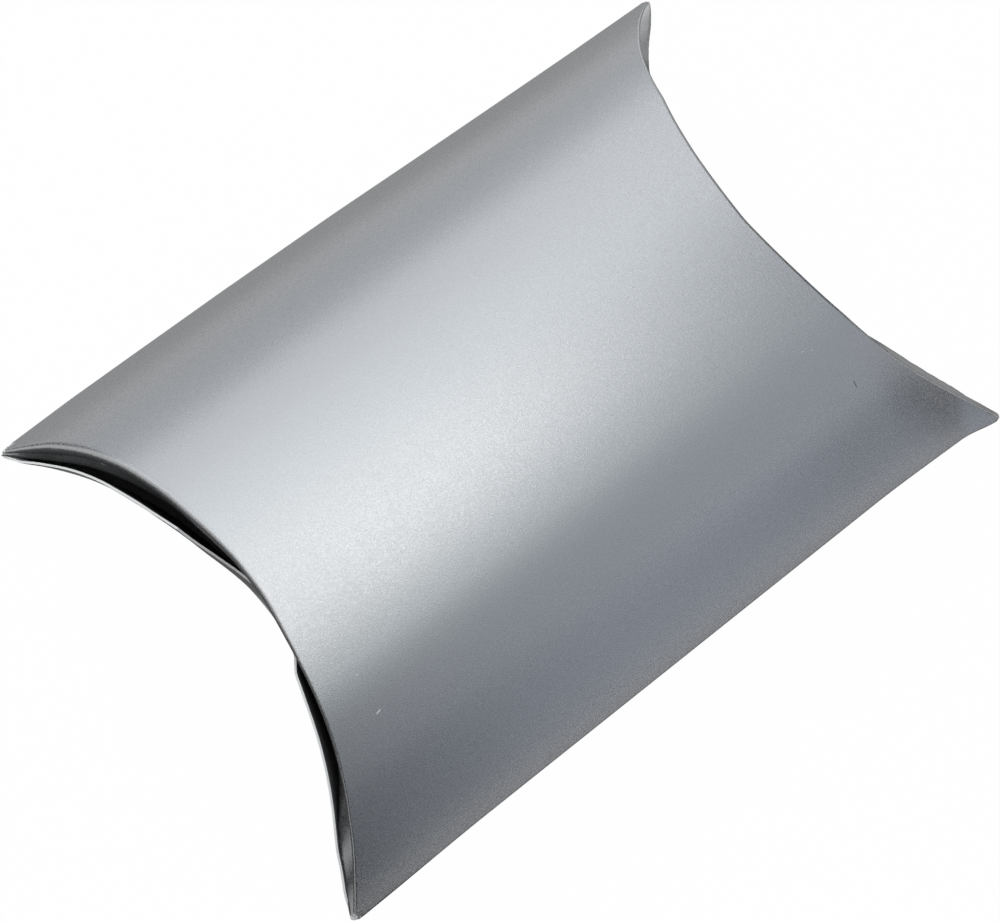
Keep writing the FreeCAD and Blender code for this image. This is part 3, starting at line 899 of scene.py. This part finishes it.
@dataclass
class EndFlap:
    """A curved end flap: the rolled crease and the hollow sheet that hangs or stands from it.

    Attributes:
        lean: how far its free edge stands out from the exact fold.
        spring: how far the card just past the crease stands out.
        drop: how much shorter the flap is cut than the lens of the end.
        roll: how far before its crease the card starts to roll.
        trim: how far its tips stop short of the side folds.
        edge_gap: how far its free edge stops short of the other panel.
        spring_depth: how far past the crease the spring is full, at most spring_share of the flap.
        settled_share: how much of the spring is lost over settling_shares of the flap.
        burr: how ragged the free edge is cut.
        calm: how far past its crease the handled end's waves die out, or 0 where they run on.
        pinch_share: how much thinner the die has pressed the free edge.
    """

    name: str
    end: End
    side: Side
    section: Section
    lean: Handles = LEVEL
    spring: Handles = LEVEL
    drop: Handles = LEVEL
    roll: Handles = TIGHT
    trim: float = 0.02 * MM
    edge_gap: float = 0.75 * MM
    least_depth_share: float = 0.6
    least_bend: float = 0.1 * MM
    bend_share: float = 0.3
    past_bend_share: float = 1.2
    spring_depth: float = 1.0 * MM
    spring_share: float = 0.25
    settled_share: float = 0.9
    settling_shares: Span = (0.2, 1.0)
    burr: float = 0.02 * MM
    burr_seed: int = 7
    calm: float = 0.0
    calm_columns: int = 91
    pinch_share: float = 0.4
    pinch_power: int = 24
    columns: int = 221
    bend_rows: int = 21
    sheet_rows: int = 41
    row_power: float = 1.3

    def across(self) -> np.ndarray:
        """Places of the sheet's columns across the box."""
        edge = self.section.span() - self.trim
        return np.linspace(-edge, edge, self.columns)

    def depth(self, across: np.ndarray) -> np.ndarray:
        """How far the flap reaches from its crease."""
        height = self.section.height(across)
        cut = self.edge_gap + follow(self.drop, across / self.section.reach)
        return np.maximum(2 * height - cut, self.least_depth_share * height)

    def _profile(self, across: np.ndarray) -> np.ndarray:
        """The flap's middle, as distances outwards and away from its crown, before it leans.

        Args:
            across: places of the columns.

        Returns:
            The two distances of each point, by columns and rows.
        """
        height = self.section.height(across)[:, None]
        fall = self.section.rise - height
        turn = np.linspace(0, math.pi / 2, self.bend_rows)[None, :]
        roll = np.interp(across / self.section.reach, *zip(*self.roll))[:, None] * MM
        flat = np.repeat(fall, self.sheet_rows - 1, axis=1)
        out = np.concatenate([fall - roll + roll * np.sin(turn), flat], axis=1)
        ragged = np.random.default_rng(self.burr_seed).normal(0, self.burr, len(across))
        bend = np.minimum(roll, self.bend_share * height + self.least_bend) * (1 - np.cos(turn))
        reach = np.maximum((self.depth(across) + ragged)[:, None], self.past_bend_share * bend[:, -1:])
        share = np.linspace(0, 1, self.sheet_rows)[None, 1:] ** self.row_power
        down = np.concatenate([bend, bend[:, -1:] + share * (reach - bend[:, -1:])], axis=1)
        return np.stack([out, fall + down], -1)

    @staticmethod
    def limited(share: np.ndarray) -> np.ndarray:
        """Shares of the fold, kept between none of it and all of it."""
        return np.clip(share, 0, 1)

    def _shares(self, mesh: bpy.types.Mesh, profile: np.ndarray) -> np.ndarray:
        """The share of the fold that lays each point flush with its panel when the flap is fully open.

        Args:
            mesh: the flap as it rests.
            profile: its middle's distances outwards and away from its crown.

        Returns:
            The shares, in the order of the mesh's points.
        """
        layer_shares, least_out = (-0.5, 0.5), 1e-6
        last = self.bend_rows - 1
        fall = profile[:, :1, 1]
        beyond = profile[..., 1] - profile[:, last : last + 1, 1]
        shares = []
        for layer, points in zip(layer_shares, points_of(mesh).reshape(2, *profile.shape[:2], 3)):
            out = self.end.value * points[..., 1] - self.section.crown_along()
            away = self.section.rise - self.side.value * (points[..., 2] - self.section.middle)
            open_out = np.maximum(out[:, last : last + 1] + beyond, least_out)
            turned = np.arctan2(away, out) - np.arctan2(fall + layer * self.section.card, open_out)
            share = self.limited(turned / (math.pi / 2))
            share[:, :last] = share[:, last : last + 1] * np.linspace(0, 1, last, endpoint=False)
            shares.append(share.ravel())
        return np.concatenate(shares)

    def _stand_out(self, across: np.ndarray, down: np.ndarray) -> np.ndarray:
        """How far each point stands out from the exact fold.

        Args:
            across: places of the columns.
            down: distances from the crease.

        Returns:
            The distances outwards.
        """
        at = across / self.section.reach
        past = np.maximum(down - down[:, self.bend_rows - 1 : self.bend_rows], 0)
        share = past / past[:, -1:]
        depth = np.minimum(self.spring_depth, self.spring_share * past[:, -1:])
        settled = self.settled_share * smooth_step(share, *self.settling_shares)
        risen = np.minimum(past / depth, 1) * (1 - settled)
        return follow(self.lean, at)[:, None] * share + follow(self.spring, at)[:, None] * risen

    def build(self, finish: CardFinish, handling: Handling) -> tuple[bpy.types.Object, np.ndarray]:
        """Builds the flap as it rests, closed.

        Args:
            finish: the card's surfaces.
            handling: how the card is settled.

        Returns:
            The flap, and the share of the fold that each of its points takes.
        """
        across = self.across()
        profile = self._profile(across)
        out = profile[..., 0] + self._stand_out(across, profile[..., 1] - profile[:, :1, 1])
        along = self.end.value * (self.section.crown_along() + out)
        up = self.section.middle + self.side.value * (self.section.rise - profile[..., 1])
        grid = as_grid(across[:, None], along, up)
        normals = grid_normals(grid, np.array([0, self.end.value, 0]))
        forward = np.cross(grid[1, 0] - grid[0, 0], grid[0, 1] - grid[0, 0]) @ normals[0, 0] > 0
        if not forward:
            grid, normals, profile = grid[::-1], normals[::-1], profile[::-1]
        pinched = self.pinch_share * np.linspace(0, 1, grid.shape[1]) ** self.pinch_power
        normals = normals * (1 - pinched)[None, :, None]
        mesh = sheet_mesh(self.name, grid, normals, self.section.card, finish)
        exact = points_of(mesh)
        flap = card_object(mesh, handling)
        if self.calm:
            self._calm(mesh, exact, profile)
            smooth(mesh)
        return flap, self._shares(mesh, profile)

    def _calm(self, mesh: bpy.types.Mesh, exact: np.ndarray, profile: np.ndarray) -> None:
        """Lets the waves of the handled end die out away from the crease.

        Args:
            mesh: the settled flap.
            exact: its points before they were settled.
            profile: its middle's distances outwards and away from its crown.
        """
        shape = (2, *profile.shape[:2])
        settled = points_of(mesh)
        waves = (settled - exact)[:, 1].reshape(shape)
        window = np.hanning(self.calm_columns)
        half = self.calm_columns // 2
        padded = np.pad(waves, ((0, 0), (half, half), (0, 0)), mode="edge")
        even = np.apply_along_axis(np.convolve, 1, padded, window / window.sum(), "valid")
        past = profile[..., 1] - profile[:, self.bend_rows - 1 : self.bend_rows, 1]
        settled[:, 1] += (smooth_step(past, 0, self.calm) * (even - waves)).ravel()
        move_points(mesh, settled)


@dataclass
class NotchedFlap(EndFlap):
    """An outer flap, with a round-bottomed thumb notch in the middle of its free edge."""

    notch_half: float = 9.75 * MM
    notch_depth: float = 5.0 * MM
    notch_columns: int = 91
    side_columns: int = 76

    def across(self) -> np.ndarray:
        """Places of the columns, with one on each of the notch's corners."""
        edge = self.section.span() - self.trim
        inside = np.linspace(-self.notch_half, self.notch_half, self.notch_columns)
        outside = np.linspace(self.notch_half, edge, self.side_columns)[1:]
        return np.concatenate([-outside[::-1], inside, outside])

    def depth(self, across: np.ndarray) -> np.ndarray:
        """How far the flap reaches from its crease, less what the notch takes away."""
        radius = (self.notch_half**2 + self.notch_depth**2) / (2 * self.notch_depth)
        bite = np.sqrt(np.maximum(radius**2 - across**2, 0)) - radius + self.notch_depth
        return super().depth(across) - np.maximum(bite, 0)


@dataclass
class TuckFlap(EndFlap):
    """An inner flap, whose shallow free edge ends a little past the middle of the end."""

    past_middle: float = 3.0 * MM
    calm: float = 4.0 * MM

    def depth(self, across: np.ndarray) -> np.ndarray:
        """How far the flap reaches from its crease."""
        return self.section.height(across) + self.past_middle * (1 - (across / self.section.reach) ** 2)

    @staticmethod
    def limited(share: np.ndarray) -> np.ndarray:
        """Shares of the fold, easing towards all of it, so that the tucked card bends without a kink."""
        straight_share, last_share = 0.7, 0.3
        eased = straight_share + last_share * np.tanh((share - straight_share) / last_share)
        return np.where(share < straight_share, np.maximum(share, 0), eased)


@dataclass
class PillowBox:
    """The whole box: a tube of two panels and two side folds, a glued seam, and two flaps at each end.

    Attributes:
        front_roll: how far before the front crease the top card starts to roll.
        front_lean: how far the front outer flap's free edge stands out.
        front_spring: how far the front inner flap's card springs out past its crease.
        back_spring: how far the back inner flap's does.
        lean_share: how much of that the back outer flap's free edge stands out.
        back_drop: how much shorter the back outer flap is cut, in millimetres.
        lowest_share: where on the half width it is cut that much shorter.
        front_tuck: how far the front inner flap's free edge is tucked in, in millimetres.
        back_tuck: how far the back one's is.
    """

    section: Section
    handling: Handling
    finish: CardFinish
    front_roll: Handles = (
        (-1.0, 0.4), (-0.93, 1.1), (-0.85, 1.4), (-0.65, 1.05), (-0.5, 0.9),
        (-0.3, 0.75), (-0.1, 0.4), (0.1, 0.35), (0.3, 0.15), (1.0, 0.15),
    )
    front_lean: Handles = (
        (-1.0, 0.3), (-0.9, 1.9), (-0.8, 2.2), (-0.55, 2.35), (-0.4, 2.1), (-0.25, 1.4), (-0.1, 0.4),
        (-0.03, -0.1), (0.1, -0.2), (0.24, 0.1), (0.3, 0.95), (0.4, 1.3), (0.8, 2.0), (0.92, 1.3), (1.0, 0.2),
    )
    front_spring: Handles = (
        (-1.0, 0.1), (-0.93, 0.7), (-0.8, 0.9), (-0.6, 0.7), (-0.4, 0.2), (-0.3, 0.0),
        (0.58, 0.0), (0.66, 0.6), (0.74, 1.4), (0.81, 1.75), (0.9, 1.3), (1.0, 0.2),
    )
    back_spring: Handles = (
        (-1.0, 0.05), (-0.97, 0.85), (-0.94, 1.55), (-0.89, 1.9), (-0.8, 1.35), (-0.7, 0.55), (-0.6, 0.0),
        (0.42, 0.0), (0.52, 0.4), (0.62, 1.05), (0.72, 1.25), (0.85, 1.25), (0.93, 0.85), (1.0, 0.1),
    )
    lean_share: float = 0.7
    back_drop: float = 1.5
    lowest_share: float = 0.7
    front_tuck: float = 2.6
    back_tuck: float = 2.2
    handle_count: int = 81

    def build_tube(self) -> None:
        """Builds the panels and the side folds, and dresses the seam."""
        for name, side, roll in (("top", Side.TOP, self.front_roll), ("bottom", Side.BOTTOM, TIGHT)):
            panel = BowedPanel(f"{name}_card", side, self.section, roll).build(self.finish, self.handling)
            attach(panel, "tube")
            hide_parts(f"{name}_panel", f"front_{name}_crease", f"back_{name}_crease")
            log.info("%s: %d points", panel.name, len(panel.data.vertices))
        for name, side in (("plain_side_fold", 1), ("seam_side_fold", -1)):
            fold = SideFold(f"{name}_card", side, self.section).build(self.finish, self.handling)
            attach(fold, "tube")
            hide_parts(name)
            log.info("%s: %d points", fold.name, len(fold.data.vertices))
        for name, material in (("glue_flap", self.finish.inside), ("glue_line", DriedGlue().material())):
            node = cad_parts[name]
            node.data.materials.clear()
            node.data.materials.append(material)
            log.info("%s: dressed", name)

    def flaps(self) -> Iterator[tuple[str, EndFlap]]:
        """The four flaps: the outer pair stands up, the inner pair hangs.

        Returns:
            The name of each flap's body, and the flap.
        """
        places = np.linspace(-1, 1, self.handle_count)
        falling = smooth_step(np.abs(places), 0, self.lowest_share)
        dropped = self.back_drop * falling * (1 - smooth_step(np.abs(places), self.lowest_share, 1))
        back_drop = tuple(zip(places, dropped))
        back_lean = tuple((place, self.lean_share * amount) for place, amount in self.back_spring)
        front_tuck, back_tuck = (
            tuple((place, -deep * (1 - place**2)) for place in places)
            for deep in (self.front_tuck, self.back_tuck)
        )
        front_low = End.FRONT, Side.BOTTOM, self.section
        front_high = End.FRONT, Side.TOP, self.section
        back_low = End.BACK, Side.BOTTOM, self.section
        back_high = End.BACK, Side.TOP, self.section
        roll, spring = self.front_roll, self.front_spring
        yield "front_outer", NotchedFlap("front_outer_card", *front_low, self.front_lean)
        yield "front_inner", TuckFlap("front_inner_card", *front_high, front_tuck, spring, roll=roll)
        yield "back_outer", NotchedFlap("back_outer_card", *back_low, back_lean, drop=back_drop)
        yield "back_inner", TuckFlap("back_inner_card", *back_high, back_tuck, self.back_spring)

    def build_flaps(self) -> None:
        """Builds the four flaps as they rest, closed, in place of the imported flap solids."""
        for body, flap in self.flaps():
            thing, shares = flap.build(self.finish, self.handling)
            up = self.section.middle + flap.side.value * self.section.rise
            start = Vector((0, flap.end.value * self.section.crown_along(), up))
            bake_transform(thing)
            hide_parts(f"{body}_flap")
            log.info("%s: %d points", thing.name, len(thing.data.vertices))


@dataclass(frozen=True)
class SoftPanel:
    """A broad soft lamp, placed by the direction in which the box sees it.

    Attributes:
        tilt: degrees from straight up towards +X.
        swing: degrees from there towards +Y.
        spread: its half angles across and along, in degrees.
        radiance: how bright it looks.
        tint: its colour.
    """

    name: str
    tilt: float
    swing: float
    spread: Span
    radiance: float
    tint: Triple = (1.0, 1.0, 1.0)
    distance: float = 1.2

    def build(self) -> bpy.types.Object:
        """Builds the lamp."""
        tilt, swing = math.radians(self.tilt), math.radians(self.swing)
        level = math.cos(swing)
        towards = Vector((math.sin(tilt) * level, math.sin(swing), math.cos(tilt) * level))
        across = Vector((math.cos(tilt), 0, -math.sin(tilt)))
        lamp = bpy.data.lights.new(self.name, "AREA")
        lamp.shape = "RECTANGLE"
        lamp.size, lamp.size_y = (2 * self.distance * math.tan(math.radians(a)) for a in self.spread)
        lamp.energy = self.radiance * math.pi * lamp.size * lamp.size_y
        lamp.color = self.tint
        thing = bpy.data.objects.new(self.name, lamp)
        bpy.context.scene.collection.objects.link(thing)
        turn = Matrix((across, towards.cross(across), towards)).transposed().to_4x4()
        thing.matrix_world = Matrix.Translation(towards * self.distance) @ turn
        return thing


@dataclass(frozen=True)
class DarkCard:
    """A dark card laid by the box, which only reflections see, as for any shiny object on a white ground."""

    name: str
    outline: tuple[Span, ...]
    shade: float
    lift: float = 0.3 * MM

    def build(self) -> bpy.types.Object:
        """Builds the card."""
        mesh = bpy.data.meshes.new(self.name)
        points = [(x * MM, y * MM, self.lift) for x, y in self.outline]
        mesh.from_pydata(points, [], [tuple(range(len(points)))])
        material, graph = new_material(self.name)
        shader = graph.node("ShaderNodeEmission", {}, {"Color": (self.shade, self.shade, self.shade, 1.0)})
        graph.node("ShaderNodeOutputMaterial", {}, {"Surface": shader})
        mesh.materials.append(material)
        card = new_object(self.name, mesh)
        card.visible_camera = False
        card.visible_diffuse = False
        card.visible_shadow = False
        card.visible_transmission = False
        card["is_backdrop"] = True
        return card


@dataclass(frozen=True)
class Studio:
    """The white ground, soft lamps, dark cards and camera.

    Attributes:
        near_shade: how bright the card before either end's hollow looks.
        far_shades: how bright the card farther out from each end looks.
        room_shade: how bright the room looks.
        glow_share: how much of the ground shows as plain white; the rest keeps the shadow.
        right: the camera's direction to the right, in the part's frame.
        above: its direction up.
        behind: its direction away from the box.
        place: where it stands.
    """

    lamps: tuple[SoftPanel, ...] = (
        SoftPanel("overhead_panel", -7.5, 0.0, (25.5, 19.0), 0.35, (0.89, 1.0, 0.97)),
        SoftPanel("key_strip", -6.5, -10.0, (12.0, 25.0), 1.22, (1.04, 1.0, 0.98)),
        SoftPanel("left_panel", -40.0, -4.5, (22.5, 36.5), 1.17, (0.97, 1.0, 1.04)),
        SoftPanel("low_left_panel", -75.5, 15.5, (12.5, 32.5), 0.65, (0.97, 1.0, 1.05)),
        SoftPanel("back_left_strip", -42.0, 28.5, (30.0, 4.0), 0.45, (0.97, 1.0, 0.96)),
        SoftPanel("back_right_panel", 17.0, 17.0, (33.5, 21.5), 0.55, (0.94, 1.0, 1.09)),
        SoftPanel("low_right_panel", 69.0, 12.5, (18.5, 13.0), 0.5, (0.93, 1.0, 1.14)),
        SoftPanel("front_left_panel", -58.0, -52.0, (24.0, 16.0), 0.7),
        SoftPanel("front_right_panel", 58.0, -52.0, (24.0, 16.0), 0.6),
        SoftPanel("far_left_panel", -58.0, 54.0, (24.0, 16.0), 0.6),
        SoftPanel("far_right_panel", 58.0, 54.0, (24.0, 16.0), 0.7),
    )
    side_cards: tuple[DarkCard, ...] = (
        DarkCard("plain_side_card", ((30, -35), (170, -40), (170, 110), (30, 80)), 0.28, 0.2 * MM),
        DarkCard("plain_front_card", ((30, -80), (170, -110), (170, -40), (30, -35)), 0.05, 0.2 * MM),
        DarkCard("seam_side_card", ((-30, -80), (-170, -110), (-170, 110), (-30, 80)), 0.48, 0.2 * MM),
    )
    near_shade: float = 0.13
    far_shades: tuple[tuple[End, float], ...] = ((End.FRONT, 0.11), (End.BACK, 0.5))
    room_shade: float = 0.012
    ground_grey: float = 0.9
    ground_half: float = 6.0
    ground_drop: float = 0.02 * MM
    glow_share: float = 0.985
    sensor: float = 36.0
    lens: float = 57.391
    right: Triple = (0.616156, 0.786985, 0.031726)
    above: Triple = (-0.765708, 0.589088, 0.258198)
    behind: Triple = (0.184509, -0.183383, 0.965571)
    place: Triple = (0.03585, -0.03564, 0.18551)

    def build_ground(self) -> None:
        """Builds the white floor, which keeps a soft shadow of the box."""
        mesh = bpy.data.meshes.new("ground")
        far = self.ground_half
        mesh.from_pydata([(-far, -far, 0), (far, -far, 0), (far, far, 0), (-far, far, 0)], [], [(0, 1, 2, 3)])
        material, graph = new_material("white_ground")
        path = graph.node("ShaderNodeLightPath", output="Is Camera Ray")
        seen = path.larger(graph.also(path, "Is Glossy Ray")).larger(graph.also(path, "Is Transmission Ray"))
        grey = (self.ground_grey, self.ground_grey, self.ground_grey, 1.0)
        diffuse = graph.node("ShaderNodeBsdfDiffuse", {}, {"Color": grey})
        white = graph.node("ShaderNodeEmission", {}, {"Color": (1.0, 1.0, 1.0, 1.0), "Strength": 1.0})
        mixed = graph.node("ShaderNodeMixShader", {}, {0: seen * self.glow_share, 1: diffuse, 2: white})
        graph.node("ShaderNodeOutputMaterial", {}, {"Surface": mixed})
        mesh.materials.append(material)
        ground = new_object("ground", mesh)
        ground.location.z = -self.ground_drop
        ground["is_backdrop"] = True

    def end_cards(self, end: End, far_shade: float) -> Iterator[DarkCard]:
        """The two dark cards before an end: one follows its hollow, the other reaches far out.

        Args:
            end: which end.
            far_shade: how bright the farther one looks.

        Returns:
            The cards, with their outlines in millimetres.
        """
        name, sign = end.name.lower(), end.value
        tip_across, tip_along, hollow = 33, 46, 12.3
        places = np.linspace(-tip_across, tip_across, 13)
        inner = [(x, sign * (tip_along - hollow * (1 - (x / tip_across) ** 2))) for x in places]
        near_across, near_along = 40, sign * 66
        outer = [(near_across, near_along), (-near_across, near_along)]
        yield DarkCard(f"{name}_near_card", tuple(inner + outer), self.near_shade)
        start_across, start_along = 60, sign * 60
        far_across, far_along = 700, sign * 1500
        start = ((-start_across, start_along), (start_across, start_along))
        far = ((far_across, far_along), (-far_across, far_along))
        yield DarkCard(f"{name}_far_card", start + far, far_shade, 0.1 * MM)

    def build_light(self) -> None:
        """Builds the lamps, the dim room and the dark cards."""
        for lamp in self.lamps:
            lamp.build()
        world = bpy.data.worlds.new("dim_room")
        world.use_nodes = True
        dim = (self.room_shade, self.room_shade, self.room_shade, 1.0)
        world.node_tree.nodes["Background"].inputs["Color"].default_value = dim
        bpy.context.scene.world = world
        end_cards = [card for end, shade in self.far_shades for card in self.end_cards(end, shade)]
        for card in (*end_cards, *self.side_cards):
            card.build()

    def build_camera(self) -> None:
        """Builds the camera at the photograph's place."""
        camera = bpy.data.cameras.new("photo_camera")
        camera.sensor_fit = "HORIZONTAL"
        camera.sensor_width = self.sensor
        camera.lens = self.lens
        thing = bpy.data.objects.new("photo_camera", camera)
        bpy.context.scene.collection.objects.link(thing)
        turn = Matrix((self.right, self.above, self.behind)).transposed().to_4x4()
        thing.matrix_world = Matrix.Translation(self.place) @ turn
        bpy.context.scene.camera = thing


def main() -> None:
    """Builds the box and its studio."""
    bpy.context.scene.view_settings.view_transform = "Standard"
    section = Section()
    box = PillowBox(section, Handling(section), CardFinish.new())
    box.build_tube()
    box.build_flaps()
    studio = Studio()
    studio.build_ground()
    studio.build_light()
    studio.build_camera()
    boxes = {"cad": CAD_BOX, "visual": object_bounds()}
    json.dumps({k: [[float(x) for x in corner] for corner in v] for k, v in boxes.items()})


if __name__ == "__main__":
    main()
